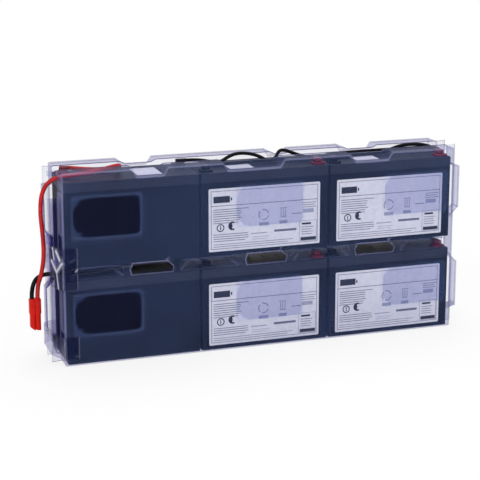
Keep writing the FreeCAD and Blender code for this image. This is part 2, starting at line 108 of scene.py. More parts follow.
def startNodes(owner):
    # empties a material or the world, and gives back what adds a node to it
    owner.use_nodes = True
    owner.node_tree.nodes.clear()
    return partial(addNode, owner.node_tree)


def meshObject(name, points, faces, materials, smooth=True):
    mesh = bpy.data.meshes.new(name)
    faces = faces.tolist() if isinstance(faces, np.ndarray) else faces
    mesh.from_pydata(np.asarray(points).reshape(-1, 3).tolist(), [], faces)
    mesh.polygons.foreach_set("use_smooth", np.full(len(mesh.polygons), smooth))
    for material in materials:
        mesh.materials.append(material)
    mesh.update()
    return newObject(name, mesh)


def fourSided(shape, closed=False, flipped=False):
    # the faces between neighbouring points of a grid, or of rings that close on themselves
    index = np.arange(np.prod(shape)).reshape(shape)
    here = index if closed else index[:, :-1]
    beside = np.roll(index, -1, axis=1) if closed else index[:, 1:]
    corners = [here[:-1], here[1:], beside[1:], beside[:-1]]
    if flipped:
        corners = corners[:1] + corners[:0:-1]
    return np.stack(corners, axis=-1)


def changeMesh(piece, change):
    body = bmesh.new()
    body.from_mesh(piece.data)
    change(body)
    body.to_mesh(piece.data)
    body.free()


def markPoints(piece, name, values):
    # a value for each point, which the piece's material reads by this name
    layer = piece.data.attributes.new(name, "FLOAT", "POINT")
    layer.data.foreach_set("value", values)


def thicken(piece, name, thickness, offset):
    wall = piece.modifiers.new(name, "SOLIDIFY")
    wall.thickness = thickness * mm
    wall.offset = offset
    return wall


def standFor(piece, node):
    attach(piece, "root")
    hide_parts(node)


noiseSpan = {"From Min": 0.3, "From Max": 0.7}  # where most of a noise's values lie


def makeSkin(name, base, *tones, **changes):
    # a moulded or coated skin: its tone drifts between two colours, and a grain of its own
    # size in mm makes it a little duller here and there and gives it its texture
    plan = {**base, **changes}
    material = bpy.data.materials.new(name)
    add = startNodes(material)
    place = add("TexCoord").outputs["Object"]
    drift, grain = [add("TexNoise", {"Vector": place, "Scale": 1000 / size, "Detail": detail,
                                     "Roughness": fineness})
                    for size, detail, fineness in (plan["drift"], plan["grain"])]
    tone = add("ValToRGB", {"Fac": drift})
    for stop, position, code in zip(tone.color_ramp.elements, plan["between"], tones):
        stop.position = position
        stop.color = colour(code)
    smoothest, roughest = plan["roughness"]
    rough = add("MapRange", {**noiseSpan, "Value": grain, "To Min": smoothest,
                             "To Max": roughest})
    relief, strength = plan["bump"]
    bump = add("Bump", {"Height": grain, "Distance": relief * mm, "Strength": strength})
    skin = add("BsdfPrincipled", {"Base Color": tone, "Roughness": rough, "Normal": bump,
                                  "IOR": plan["ior"], "Specular IOR Level": plan["mirror"]})
    add("OutputMaterial", {"Surface": skin})
    return material


# soft PVC insulation: a satin skin, a little darker and duller where it has been handled
pvc = {"drift": (11.11, 3.0, 0.55), "grain": (11.11, 3.0, 0.55), "between": (0.35, 0.65),
       "bump": (0.1, 0.25), "ior": 1.53, "mirror": 0.3, "roughness": (0.28, 0.42)}
redPvc = makeSkin("redPvcInsulation", pvc, "#a60f14", "#cc1a1c")
blackPvc = makeSkin("blackPvcInsulation", pvc, "#06060b", "#0b0b12", mirror=0.12)
bootPvc = makeSkin("darkRedBootPvc", pvc, "#6a1420", "#861c2a", roughness=(0.32, 0.46))

# moulded nylon has much the same satin skin, a little harder and brighter
plugNylon = makeSkin("redPlugNylon", pvc, "#c61104", "#d81405",
                     mirror=0.16, roughness=(0.24, 0.38))


# plug: a collar over two barrels, hanging on both leads

plug = {
    "middle": (-255.6, -2.0),
    "collar": (6.5, 4.5, 1.4),  # half width, half depth, rounding of its top edge
    "barrels": (5.9, 3.9),  # half width and half depth of the two together
    "mouth": (5.4, 2.5, 60.0),  # the opening below: half sizes, and how high it goes
    "levels": (71.0, 54.6, 53.6),  # top, and where the collar steps in to the barrels
    "endAcross": (-6.3, -0.8, 0.0, 0.9, 6.3),  # the slanted end: across the plug
    "endHeights": (39.4, 35.3, 36.8, 35.9, 35.0),  # and its height there
    "groove": 0.24, "grooveWidth": 0.11, "bulge": 0.08,  # shares of the depth and half width
    "collarShape": 0.4,  # how much of the barrels' shape shows on the collar
    "squareness": 5.0, "around": 72,
    "tip": 0.02, "endRound": 0.3,  # mm, size of the closing rings, and of the end's bevel
    "rows": (5, 6, 12), "lastRow": 0.97,  # rows of rings, the last one by the end
    "sharpFrom": math.radians(40),
}


def makePlug(name, plan, node, material):
    # rings down the outside and up into the mouth: each is a squared oval whose depth swells
    # over either barrel and dips in the groove between them
    turn = np.linspace(0, 2 * np.pi, plan["around"], endpoint=False)
    way = np.stack([np.cos(turn), np.sin(turn)])
    size = (np.abs(way) ** plan["squareness"]).sum(axis=0) ** (-1 / plan["squareness"])
    across = way[0] * size
    swell = 1 + plan["bulge"] * (1 - np.cos(2 * np.pi * across)) / 2
    dip = 1 - plan["groove"] * np.exp(-(across / plan["grooveWidth"]) ** 2)
    top, step, under = plan["levels"]
    wide, deep, edge = plan["collar"]
    barrelWide, barrelDeep = plan["barrels"]
    bore, boreDeep, boreTop = plan["mouth"]
    tip, trim, shown = plan["tip"], plan["endRound"], plan["collarShape"]
    roundRows, collarRows, barrelRows = plan["rows"]
    end = np.interp(across * barrelWide, plan["endAcross"], plan["endHeights"])
    # each ring: half width, half depth, height, and how much of the barrels' shape it has
    rings = [(tip, tip, top, 0)]
    rings += [(wide - edge + edge * np.sin(a), deep - edge + edge * np.sin(a),
               top - edge + edge * np.cos(a), shown) for a in np.linspace(0, np.pi / 2, roundRows)]
    rings += [(wide, deep, z, shown) for z in np.linspace(top - edge, step, collarRows)[1:]]
    rings += [(barrelWide, barrelDeep, under + share * (end - under), 1)
              for share in np.linspace(0, plan["lastRow"], barrelRows)]
    rings += [(barrelWide - trim, barrelDeep - trim, end, 1), (bore, boreDeep, end, 0),
              (bore, boreDeep, boreTop, 0), (tip, tip, boreTop, 0)]
    x = np.stack([half * across + plan["middle"][0] for half, _, _, _ in rings])
    y = np.stack([half * way[1] * size * (1 + shaped * (swell * dip - 1)) + plan["middle"][1]
                  for _, half, _, shaped in rings])
    z = np.stack([height + 0 * across for _, _, height, _ in rings])
    faces = fourSided(x.shape, closed=True).reshape(-1, 4).tolist()
    faces += [list(range(len(turn))), list(range(x.size - 1, x.size - len(turn) - 1, -1))]
    piece = meshObject(name, np.stack([x, y, z], axis=-1) * mm, faces, [material])
    changeMesh(piece, lambda body: bmesh.ops.recalc_face_normals(body, faces=body.faces))
    piece.data.set_sharp_from_angle(angle=plan["sharpFrom"])
    standFor(piece, node)


makePlug("plugBody", plug, "plug_housing", plugNylon)
print("plug made")


# wires: each follows its own route in mm as one smooth curve, and its length is in metres

wires = {
    "redLead": {
        "diameter": 4.8, "length": 0.2781, "carries": ["plugBody"], "boots": ("positive",),
        "route": [(-208.5, 20.5, 208.2), (-189, 15, 205.9), (-165.5, 12.5, 205.8),
                  (-154.6, 5, 210), (-164.1, -8.2, 213.5), (-187, -14, 209.5),
                  (-212, -12, 206.8), (-233, -5.5, 204), (-244.5, -2.5, 190), (-247.2, -3, 167),
                  (-244.8, -3.5, 140), (-244.3, -3, 117), (-247.5, -2.5, 97),
                  (-252.45, -2, 84), (-252.45, -2, 71)],
    },
    "blackLead": {
        "diameter": 4.8, "length": 0.1874, "carries": ["plug_contacts"], "boots": ("negative",),
        "route": [(-94.5, 20.5, 100.2), (-115, 20.5, 100.2), (-146, 9, 98), (-176, -3, 97.9),
                  (-205, -8, 97.8), (-230, -5, 97.9), (-249.5, 4.5, 95), (-258.75, -2, 84),
                  (-258.75, -2, 71)],
    },
    "upperLeftJumper": {
        "length": 0.166,
        "route": [(-76.5, 20.5, 208.2), (-62.1, 20.5, 208.2), (-48, 12, 205.9),
                  (-38.5, 8.5, 206.5), (-31, 8, 211.5), (-22, 8, 214.8), (-9, 8, 214.6),
                  (4, 4, 211.5), (13, -1.3, 205.6), (22, -1.3, 207.5), (29, 6, 215.6),
                  (37, 7.5, 215.4), (50, 5, 210), (60, 2, 206.8), (66, -3.25, 208.2),
                  (66, -11.5, 208.2)],
    },
    "upperRightJumper": {
        "length": 0.3032,
        "route": [(-66, -11.5, 208.2), (-66, -2.6, 208.2), (-58, 1, 205.8), (-44, 2, 205.3),
                  (10, 5.5, 205.3), (40, 6.5, 205.3), (60, 8, 205.2), (90, 2, 205.2),
                  (130, 3, 205.4), (158, 3, 205.6), (169, 3, 210.3), (181, 3, 213.2),
                  (198, 2.5, 213.4), (212, 1.5, 211.4), (217.5, -3.25, 208.2),
                  (217.5, -11.5, 208.2)],
    },
    "rowJumper": {
        "length": 0.293,
        "route": [(85.5, -11.5, 208.2), (85.5, -3.9, 208.2), (86, 2, 207.4),
                  (88.5, 10, 206.2), (98, 17, 205.6), (150, 19, 205.8), (200, 17, 206),
                  (225, 12, 207), (233.6, 7, 203), (231.6, 5, 180), (231.3, 4, 135),
                  (231.6, 5, 112), (228, 5, 102), (217.5, 4, 100.2), (217.5, -11.5, 100.2)],
    },
    "lowerRightJumper": {
        "length": 0.0432,
        "route": [(85.5, -11.5, 100.2), (85.5, 5, 100.2), (66, 5, 100.2), (66, -11.5, 100.2)],
    },
    "lowerLeftJumper": {
        "length": 0.1698,
        "route": [(-66, -11.5, 100.2), (-66, 3, 100.2), (-90, 6, 105), (-140, 5, 106),
                  (-195, 4, 105), (-217.5, -1, 100.2), (-217.5, 11.5, 100.2)],
    },
}
jumperBoots = ("negative", "positive")  # a jumper's two ends, where a lead has only its first
wireSteps = {"along": 14, "around": 5}
jumperDiameter = 4.0


def makeWire(name, plan, material):
    # a smooth spline whose control points are the route's, and a round section along it; the
    # node that it stands for has the wire's own name, in small letters with underscores
    diameter = plan.get("diameter", jumperDiameter) * mm
    curve = bpy.data.curves.new(name, "CURVE")
    curve.dimensions = "3D"
    curve.resolution_u = wireSteps["along"]
    curve.bevel_depth = diameter / 2
    curve.bevel_resolution = wireSteps["around"]
    curve.use_fill_caps = True
    spline = curve.splines.new("NURBS")
    points = np.array(plan["route"]) * mm
    spline.points.add(len(points) - 1)
    spline.points.foreach_set("co", np.column_stack([points, np.ones(len(points))]).ravel())
    spline.order_u = 3
    spline.use_endpoint_u = True
    curve.materials.append(material)
    piece = newObject(name, curve)
    node = "".join("_" + letter.lower() if letter.isupper() else letter for letter in name)
    standFor(piece, node)


for wireName, wirePlan in wires.items():
    if wireName == "redLead":
        makeWire(wireName, wirePlan, redPvc)
    else:
        makeWire(wireName, wirePlan, blackPvc)
print("wires laid", len(wires))


# boots: soft sleeves over the push-on connectors, tapering to the wire

boot = {
    "length": 12.0,
    "halfWidth": 4.4, "halfHeight": 2.5,  # over the connector
    "neck": 2.35,  # radius at the mouth
    "sink": 0.45,  # how far the connector's middle is below the wire
    "taper": (0.0, 0.35, 0.8, 1.0),  # shares of the length: mouth, shoulder, back, end
    "swell": (0.0, 1.0, 1.0, 0.86),  # and how full the sleeve is there
    "closeFrom": 0.93, "closeTo": 0.02,  # share where the back end rounds off, and to what
    "rounding": 4.0,  # how square the section is over the connector
    "sections": 26, "around": 32,
}


def makeBoots(name, ends, node, material):
    # sections carried along a straight axis: a round mouth swells into a squared sleeve, and
    # the radius at each angle follows a superellipse
    share = (1 - np.cos(np.linspace(0, np.pi, boot["sections"]))) / 2
    turn = np.linspace(0, 2 * np.pi, boot["around"], endpoint=False)
    swell = np.interp(share, boot["taper"], boot["swell"])
    swell = swell * swell * (3 - 2 * swell)
    power = (2 + (boot["rounding"] - 2) * swell)[:, None]
    wide = boot["neck"] + (boot["halfWidth"] - boot["neck"]) * swell
    high = boot["neck"] + (boot["halfHeight"] - boot["neck"]) * swell
    past = np.clip((share - boot["closeFrom"]) / (1 - boot["closeFrom"]), 0, 1)
    closed = np.sqrt(np.clip(1 - past ** 2, boot["closeTo"] ** 2, 1))
    section = (np.abs(np.cos(turn)) ** power + np.abs(np.sin(turn)) ** power) ** (-1 / power)
    across = (wide * closed)[:, None] * section * np.cos(turn)
    up = (high * closed)[:, None] * section * np.sin(turn) - boot["sink"] * swell[:, None]
    sleeve = fourSided(across.shape, closed=True, flipped=True).reshape(-1, 4)
    mouthRing, endRing = np.arange(len(turn))[::-1], np.arange(len(turn)) + across.size - len(turn)
    points, faces = [], []
    for number, (mouth, way) in enumerate(ends):
        way = way / np.hypot(*way[:2])
        side = np.array([-way[1], way[0], 0])
        place = (mouth + share[:, None, None] * boot["length"] * way
                 + across[..., None] * side + up[..., None] * np.array([0, 0, 1]))
        points.append(place.reshape(-1, 3))
        for cells in (sleeve, mouthRing[None], endRing[None]):
            faces += (cells + number * across.size).tolist()
    piece = meshObject(name, np.concatenate(points) * mm, faces, [material])
    standFor(piece, node)


bootEnds = {"positive": [], "negative": []}
for wirePlan in wires.values():
    route = np.array(wirePlan["route"])
    signs = wirePlan.get("boots", jumperBoots)
    for sign, tip, inner in zip(signs, (route[0], route[-1]), (route[1], route[-2])):
        bootEnds[sign].append((tip, (tip - inner) * (1, 1, 0)))
makeBoots("positiveBoots", bootEnds["positive"], "positive_boots", bootPvc)
makeBoots("negativeBoots", bootEnds["negative"], "negative_boots", blackPvc)
print("boots pushed on", sum(map(len, bootEnds.values())))


# finishes of the battery pieces

# injection moulded ABS: an even satin skin with a fine spark-eroded grain, which is drawn
# coarser than the real one so that it shows; the lids are smoother and catch more light
mouldedAbs = {"drift": (71.43, 2.0, 0.5), "grain": (1.6, 2.0, 0.5), "between": (0.3, 0.7),
              "bump": (0.1, 0.01), "ior": 1.53, "mirror": 0.12, "roughness": (0.39, 0.41)}
caseAbs = makeSkin("mouldedAbsCase", mouldedAbs, "#05091a", "#060b21", roughness=(0.49, 0.51))
# painted light: the lids' base tones are lighter than the case's, for the light the lids catch
lidAbs = makeSkin("mouldedAbsLid", mouldedAbs, "#0e1328", "#131932",
                  roughness=(0.37, 0.39), mirror=0.32)
redAbs = makeSkin("redTerminalAbs", mouldedAbs, "#6e1826", "#8a2233")
blackAbs = makeSkin("blackTerminalAbs", mouldedAbs, "#111116", "#1b1b20")

# coated label stock: matt white with a faint fibre mottle, and the plain stickers on the lids;
# the lower row's stickers are painted grey as the shade of the upper row
paper = {"drift": (3.846, 4.0, 0.5), "grain": (3.846, 4.0, 0.5), "between": (0.3, 0.6),
         "bump": (0.05, 0.3), "ior": 1.45, "mirror": 0.5, "roughness": (0.5, 0.5)}
labelPaper = makeSkin("coatedLabelPaper", paper, "#e9e9ef", "#f4f4f8")
stickerPaper = makeSkin("plainStickerPaper", paper, "#dcdde9", "#e6e7f2")
shadedPaper = makeSkin("paintedShadeStickerPaper", paper, "#33353f", "#3c3e4a")

brass = {
    "tone": "#d8d6d0", "roughness": (0.2, 0.45),
    "lines": (0.25, 0.25, 3.333),  # mm, how far apart the lines of the strip are, and long
}


def makeBrass(name, plan):
    # tin-plated brass sheet: bright, with the fine lengthways lines of the rolled strip
    material = bpy.data.materials.new(name)
    add = startNodes(material)
    stretch = add("Mapping", {"Vector": add("TexCoord").outputs["Object"],
                              "Scale": [1000 / size for size in plan["lines"]]})
    lines = add("TexNoise", {"Vector": stretch, "Scale": 1.0, "Detail": 2.0})
    smoothest, roughest = plan["roughness"]
    sheen = add("MapRange", {"Value": lines, "To Min": smoothest, "To Max": roughest})
    skin = add("BsdfPrincipled", {"Base Color": colour(plan["tone"]), "Roughness": sheen,
                                  "Metallic": 1.0})
    add("OutputMaterial", {"Surface": skin})
    return material


tinnedBrass = makeBrass("tinnedBrassTab", brass)

finishOf = {"case": caseAbs, "lid": lidAbs, "vent_cover": lidAbs, "positive_block": redAbs,
            "negative_block": blackAbs, "label": labelPaper, "sticker": stickerPaper,
            "terminal_tabs": tinnedBrass, "plug_contacts": tinnedBrass}
for nodeName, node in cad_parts.items():
    for ending, material in finishOf.items():
        if nodeName.endswith(ending):
            node.data.materials.clear()
            node.data.materials.append(material)
# painted shade: the lower row's stickers take the grey paper, for the shade of the row above
for column in columns:
    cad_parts[f"lower_{column}_sticker"].data.materials[0] = shadedPaper
print("finishes on the packed pieces")


# clear films: the drawn sheet and its cut edge, the tape and the adhesive

# drift is the mm between the skin's waves, wander their strength, bend how late the mirror
# rises towards a grazing view; casts and hazes are what each mark on the points adds
clearPlans = {
    "sheet": {"drift": 55.56, "wander": 0.12, "bend": 6.5, "gloss": (0.0, 0.42), "rough": 0.1,
              "tint": "#fafafc", "edgeTint": "#e9e7f0", "mirror": "#f2f0ff",
              # the deep cast is painted shade, a dark violet over the left end wall and flange
              "casts": {"pressed": "#fbfbfe", "deep": "#9a8cc0"},
              # the haze at the bends is real whitening of the sheet, and along its rounded edge a
              # painted highlight
              "haze": 0.052, "hazeColour": "#6c86c2", "creaseHighlightColour": "#a9a8cc",
              "hazes": {"pressed": 0.05, "creaseAndHighlight": 0.26}},
    "edge": {"drift": 16.67, "wander": 0.1, "bend": 2.0, "gloss": (0.05, 0.4), "rough": 0.15,
             "tint": "#a9a4c4", "edgeTint": "#706a9c", "mirror": "#f0eeff",
             # the deep cast is painted shade, a dark violet over the left end wall and flange
             "casts": {"pressed": "#efeefc", "deep": "#706a9c"},
             "haze": 0.4, "hazeColour": "#4c4684", "creaseHighlightColour": "#4c4684", "hazes": {}},
    "tape": {"drift": 6.25, "wander": 0.3, "bend": 4.0, "gloss": (0.0, 0.4), "rough": 0.1,
             "tint": "#ecebf3", "edgeTint": "#d4d2e4", "mirror": "#ffffff", "casts": {},
             # the tape's white haze at its folds is a painted highlight on their crests
             "haze": 0.004, "hazeColour": "#7078a0", "creaseHighlightColour": "#fbfbff",
             "hazes": {"creaseAndHighlight": 0.9}},
    "adhesive": {"drift": 33.33, "wander": 0.0, "bend": 4.0, "gloss": (0.0, 0.05), "rough": 0.4,
                 "tint": "#fafaff", "edgeTint": "#f0f0fa", "mirror": "#ffffff", "casts": {},
                 "haze": 0.004, "hazeColour": "#303a70", "creaseHighlightColour": "#303a70",
                 "hazes": {}},
}
filmDepth = {"relief": 2.0, "slantPower": 1.6, "wetGloss": 0.02, "mottle": (0.75, 1.25)}


def makeClear(name, plan):
    # clear plastic film: it takes a lilac cast that deepens with the length of the way
    # through it, mirrors more at a grazing view, and its skin has a thin blue haze that
    # is gone where adhesive wets it; marks on the points say where it is drawn onto the pads or
    # creased, where a painted highlight whitens it, and where a painted shade cast darkens it
    material = bpy.data.materials.new(name)
    add = startNodes(material)
    # of these marks, the one for bends also carries painted highlight, and the deep one a painted
    # shade cast
    marks = {mark: add("Attribute", attribute_name=mark).outputs["Fac"]
             for mark in ("wet", "pressed", "creaseAndHighlight", "deep")}
    drift = add("TexNoise", {"Vector": add("TexCoord").outputs["Object"],
                             "Scale": 1000 / plan["drift"], "Detail": 3.0})
    bump = add("Bump", {"Height": drift, "Distance": filmDepth["relief"] * mm,
                        "Strength": plan["wander"]})
    slant = add("LayerWeight", {"Blend": 0.5, "Normal": bump}).outputs["Facing"]
    longer = add("Math", {0: slant, 1: filmDepth["slantPower"]}, operation="POWER")
    cast = add("Mix", {0: longer, 6: colour(plan["tint"]), 7: colour(plan["edgeTint"])},
               data_type="RGBA").outputs[2]
    for mark, tint in plan["casts"].items():
        cast = add("Mix", {0: marks[mark], 6: cast, 7: colour(tint)}, data_type="RGBA").outputs[2]
    through = add("BsdfTransparent", {"Color": cast})

    steep = add("Math", {0: slant, 1: plan["bend"]}, operation="POWER")
    least, most = plan["gloss"]
    gloss = add("MapRange", {"Value": steep, "To Min": least, "To Max": most})
    dry = add("MapRange", {"Value": marks["wet"], "To Min": 1.0, "To Max": filmDepth["wetGloss"]})
    held = add("Math", {0: gloss, 1: dry}, operation="MULTIPLY")
    mirror = add("BsdfAnisotropic", {"Color": colour(plan["mirror"]), "Normal": bump,
                                     "Roughness": plan["rough"]})
    clear = add("MixShader", {0: held, 1: through, 2: mirror})

    least, most = [plan["haze"] * share for share in filmDepth["mottle"]]
    haze = add("MapRange", {**noiseSpan, "Value": drift, "To Min": least, "To Max": most})
    # the haze at the bends includes painted highlight along rounded edges and fold crests
    for mark, more in plan["hazes"].items():
        haze = add("Math", {0: marks[mark], 1: more, 2: haze}, operation="MULTIPLY_ADD")
    amount = add("Math", {0: haze, 1: dry}, operation="MULTIPLY")
    cloud = add("Mix", {0: marks["creaseAndHighlight"], 6: colour(plan["hazeColour"]),
                        7: colour(plan["creaseHighlightColour"])}, data_type="RGBA")
    fog = add("BsdfDiffuse", {"Color": cloud.outputs[2]})
    add("OutputMaterial", {"Surface": add("MixShader", {0: amount, 1: clear, 2: fog})})
    return material


clearSheet = makeClear("vacuumFormedClearSheet", clearPlans["sheet"])
sheetEdge = makeClear("cutEdgeOfClearSheet", clearPlans["edge"])
clearTape = makeClear("creasedClearTape", clearPlans["tape"])
clearAdhesive = makeClear("clearAdhesivePatch", clearPlans["adhesive"])


# print on the labels: flat inked shapes just off the paper, in mm right of and below the
# label's top left; lines of small print, signs and a battery's outline are plain shapes

ink = {
    "lift": 0.05, "blot": 1.111,  # mm off the paper, and size of its blots
    "shades": (0.9, 1.12), "roughness": 0.45, "ior": 1.45,
}
labelPrint = {
    "dark": {
        "code": "#15172b",
        "arcs": ((13.5, 44.5, 4.5, 3.3), (27.5, 43.0, 5.0, 3.1, 60, 300),
                 (27.5, 43.0, 3.1, 0.01, 100, 260)),
        "bars": ((13.0, 42.1, 14.0, 46.9), (5.5, 8.8, 24.5, 16.2), (25.4, 10.8, 27.0, 14.2),
                 (108.0, 62.6, 126.6, 66.4), (109.5, 46.0, 120.5, 48.2)),
    },
    "grey": {
        "code": "#6d7189",
        "frames": ((2.6, 2.6, 128.4, 68.4, 0.6), (106.5, 43.5, 127.3, 67.0, 0.35)),
        "lines": ((5.2, 23.4, (41, 32, 32, 31, 33, 30, 29), 2.55, 0.8),
                  (5.2, 51.6, (40, 41, 41, 37), 2.5, 0.75), (5.2, 63.0, (94, 88), 2.4, 0.6),
                  (109.0, 50.6, (14.5, 12.0, 13.5, 12.5), 2.7, 0.7),
                  (110.0, 22.6, (17, 15, 16.5), 2.5, 0.7)),
        "bars": ((3.0, 19.2, 128.0, 19.9), (97.5, 34.0, 109.0, 34.8),
                 (76.5, 51.2, 103.0, 53.8)),
    },
    "pale": {
        "code": "#a9adc3",
        "arcs": ((64.0, 33.0, 6.4, 5.0, 12, 108), (64.0, 33.0, 6.4, 5.0, 132, 228),
                 (64.0, 33.0, 6.4, 5.0, 252, 348)),
        "bars": ((58.5, 41.6, 70.0, 45.6), (83.0, 26.5, 91.5, 27.6), (84.0, 28.4, 85.0, 37.5),
                 (89.5, 28.4, 90.5, 37.5), (84.0, 36.8, 90.5, 37.8), (86.7, 28.4, 87.7, 37.0),
                 (82.5, 41.2, 92.0, 45.0), (110.5, 30.0, 123.5, 34.6),
                 (49.0, 53.0, 68.0, 54.2)),
        "lines": ((50.5, 57.4, (20, 17), 2.4, 0.6),),
    },
}


def bar(u0, v0, u1, v1):
    # a flat bar between two corners
    return [(np.array([(u0, v0), (u1, v0), (u1, v1), (u0, v1)]), np.array([(0, 1, 2, 3)]))]


def arc(u, v, outer, inner, start=0.0, end=360.0, count=40):
    # an arc band: two circles about one middle, joined from one angle to another
    turn = np.radians(np.linspace(start, end, count + 1))
    way = np.column_stack([np.cos(turn), np.sin(turn)])
    points = np.concatenate([(u, v) + outer * way, (u, v) + inner * way])
    index = np.arange(count)
    faces = np.column_stack([index, index + 1, index + count + 2, index + count + 1])
    return [(points, faces)]


def outlineBox(u0, v0, u1, v1, width):
    # four thin bars round a rectangle
    return (bar(u0, v0, u1, v0 + width) + bar(u0, v1 - width, u1, v1)
            + bar(u0, v0, u0 + width, v1) + bar(u1 - width, v0, u1, v1))


def textLines(u0, v0, widths, pitch, height):
    # thin bars that stand for lines of small print
    return [shape for row, width in enumerate(widths)
            for shape in bar(u0, v0 + row * pitch, u0 + width, v0 + row * pitch + height)]


drawShape = {"arcs": arc, "bars": bar, "frames": outlineBox, "lines": textLines}


def makeInk(name, code):
    # printed ink: flat colour with the slight unevenness of a thermal print
    material = bpy.data.materials.new(name)
    add = startNodes(material)
    blot = add("TexNoise", {"Vector": add("TexCoord").outputs["Object"],
                            "Scale": 1000 / ink["blot"], "Detail": 1.0})
    darkest, lightest = ink["shades"]
    value = add("MapRange", {"Value": blot, "To Min": darkest, "To Max": lightest})
    tone = add("HueSaturation", {"Color": colour(code), "Value": value})
    skin = add("BsdfPrincipled", {"Base Color": tone, "Roughness": ink["roughness"],
                                  "IOR": ink["ior"]})
    add("OutputMaterial", {"Surface": skin})
    return material


inks = [makeInk(f"{tone}PrintInk", plan["code"]) for tone, plan in labelPrint.items()]


def printOn(row, column):
    # the label of the left column's batteries faces the back, and its print turns with it
    low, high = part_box(f"{row}_{column}_label")
    turned = column == "left"
    y = high.y + ink["lift"] * mm if turned else low.y - ink["lift"] * mm
    edge, way = (high.x, -1) if turned else (low.x, 1)
    points, faces, tones = [], [], []
    count = 0
    for tone, plan in enumerate(labelPrint.values()):
        shapes = [shape for kind, draw in drawShape.items() for values in plan.get(kind, ())
                  for shape in draw(*values)]
        for corners, cells in shapes:
            points.append(np.column_stack([edge + way * corners[:, 0] * mm,
                                           np.full(len(corners), y),
                                           high.z - corners[:, 1] * mm]))
            faces += (cells[:, ::-1] + count).tolist()
            tones += [tone] * len(cells)
            count += len(corners)
    piece = meshObject(f"{row}_{column}_print", np.concatenate(points), faces, inks, smooth=False)
    piece.data.polygons.foreach_set("material_index", tones)
    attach(piece, "root")


for row in rows:
    for column in columns:
        printOn(row, column)
print("labels printed")


# the two trays: clear sheet drawn over a mould, one grid over face, walls and flanges

def caseSide(row, column, axis):
    low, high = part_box(f"{row}_{column}_case")
    return low[axis] / mm, high[axis] / mm


rowFloors = [caseSide(row, "middle", 2)[0] for row in rows]
columnMiddles = [sum(caseSide("lower", column, 0)) / 2 for column in columns]
caseBack = caseSide("lower", "middle", 1)[1]
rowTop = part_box("lower_middle_lid")[1].z / mm
trayLow, trayHigh = (np.array(corner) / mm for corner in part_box("front_tray"))

tray = {
    "wall": 1.0, "edgeRound": 2.5,  # thickness, and the rounding of the face's edge
    "reach": 22.5,  # how deep the side walls are
    "endReach": 10.2,  # from the end wall out to the flange's edge
    "wallDepths": (4.6, 5.3, 6.0, 9.0, 13.5, 18.2, 18.9, 21.5),
    "roundAngles": (22.5, 45, 67.5, 90),
    "flangeShares": (0.12, 0.55, 1.0),
    "rimDrop": 1.0,  # how much deeper the long walls go than the flange
    "lineStep": 5.0, "crowding": 0.3,  # mm between even lines, and share of it kept clear
    "slopeLines": (8, 6),  # along a shelf's tapered end, and up its underside
    # places of the grid's lines from where a scoop turns, a pad bends, a shelf folds, a lip rises
    "turn": (-0.8, -0.28, 0.28, 0.8), "bend": (-4.2, -2.6, -1.0, -0.35, 0.35, 1.0),
    "fold": (-1.3, -0.5, 0, 0.5, 1.3), "lip": (0, 0.9, 1.4, 1.7, 2.2),
    "shelfTop": (-1.2, -0.35, 0, 0.5), "scoopLines": (2.5, 5.5, 8.5, 11.0, 13.5),
    "padSize": (78.0, 47.5), "padRise": 31.0, "padCorner": 4.0, "padDepth": 1.0,
    "padShifts": (-29.5, 5.0, 31.5), "padSlope": (-1.0, 1.0), "padEdge": (-5.0, -2.0),
    "wetInset": 2.2, "wetCorners": (17.0, 7.0), "wetEdge": (-1.2, 1.2),
    "windowShifts": (19.5, 0.0, -20.0), "windowWidth": 47.0, "windowRows": (3.1, 13.4),
    "windowLeft": (1.5, 0.0, 2.5), "windowRight": (-1.5, 0.0, -6.5),  # lean: low, middle, high
    "leanAbove": (2.0, 5.0), "leanBeside": (2.0, 7.6),
    "lipWidth": 1.4, "lipRaise": 0.7, "lipSlope": 0.3,
    "shelfBeside": 9.0, "shelfEnd": 8.3, "shelfTaper": 9.0, "shelfDepth": 8.5,
    "shelfRows": (2.2, 12.85), "shelfRise": 6.5, "shelfStep": 0.35, "shelfMargin": 1.0,
    "scoopDrop": (8.6, 2.6), "scoopSide": 6.0, "scoopStart": 15.9, "scoopEase": 0.08,
    "bumpDepth": 5.3, "bumpStep": (-0.7, 0.5), "bumpReach": 9.2,
    "bumpRows": ((20.0, 22.0, 75.5, 85.0), (24.0, 33.5, 82.0, 84.0)),
    "gripReach": 1.9, "gripRows": (35.7, 36.3, 80.7, 81.3), "gripDepths": (4.6, 5.3, 18.2, 18.9),
    "notch": (183.0, 208.0),
    "wave": 0.16, "waveFade": 12.0,  # how far the drawn sheet wanders from flat
    # how strongly bends whiten the sheet, and how strong the painted highlight along the face's
    # rounded edge is
    "creaseGain": 14.0, "roundHighlight": 0.75,
    "padSoftness": 0.55,  # how much fainter the pads' edges are
    "shelfSoftness": 0.5,  # how much fainter the shelves' folds are than the rest
    # where a painted shade darkens the left end: from what depth, over what share of the flange,
    # and at what heights
    "paintedShadeFrom": (2.0, 6.0), "paintedShadeTo": (0.5, 0.62),  # depth, and share of the flange
    "paintedShadeLow": (12.0, 26.0), "paintedShadeHigh": (174.0, 190.0),  # heights where it comes and goes
    "sharpFrom": math.radians(28),
}


